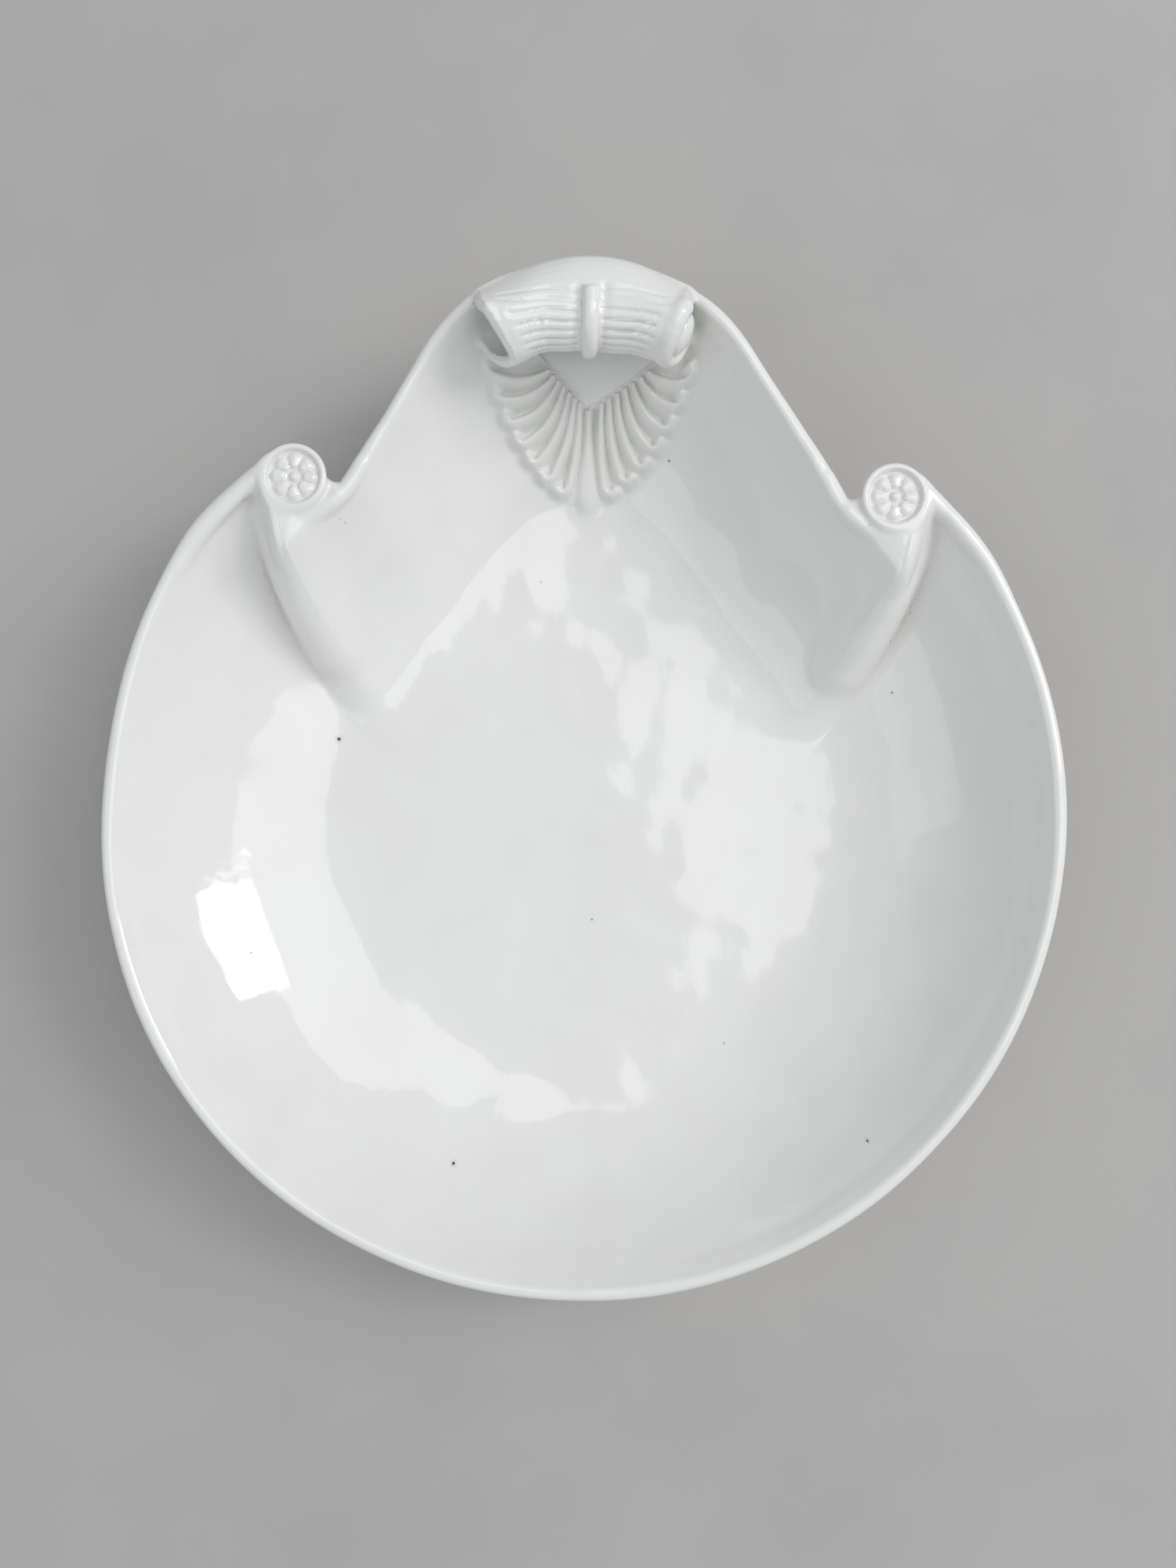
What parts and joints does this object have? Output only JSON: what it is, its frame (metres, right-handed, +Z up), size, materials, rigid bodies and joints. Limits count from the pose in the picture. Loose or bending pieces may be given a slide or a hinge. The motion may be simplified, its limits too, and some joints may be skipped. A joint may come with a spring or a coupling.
{
  "type": "shell-shaped dish",
  "caption": "Round white porcelain dish with a peaked fan-shaped back between scrolled ears with rosettes, a fluted scroll handle and a palmette in relief, standing on a foot ring",
  "frame": {"origin": "under the middle of the outline, on the plane that the foot ring stands on", "axes": "+Z up, +Y from the round front toward the handle, +X to the right when the handle is farther away"},
  "size_m": [0.2396, 0.2556, 0.0632],
  "materials": {
    "glaze": "white porcelain under a clear, slightly uneven lead glaze with a few iron specks",
    "foot": "glazed sides, bare worn edge where the ring meets the table"
  },
  "bodies": {
    "root": {"dish_body": "glaze", "foot_ring": "foot", "ear_scroll_left": "glaze", "ear_scroll_right": "glaze", "ear_rosette_left": "glaze", "ear_rosette_right": "glaze", "handle_scroll": "glaze", "handle_band": "glaze", "handle_collar_left": "glaze", "handle_collar_right": "glaze", "handle_eye_right": "glaze", "palmette_leaves": "glaze", "palmette_field": "glaze"}
  },
  "joints": []
}
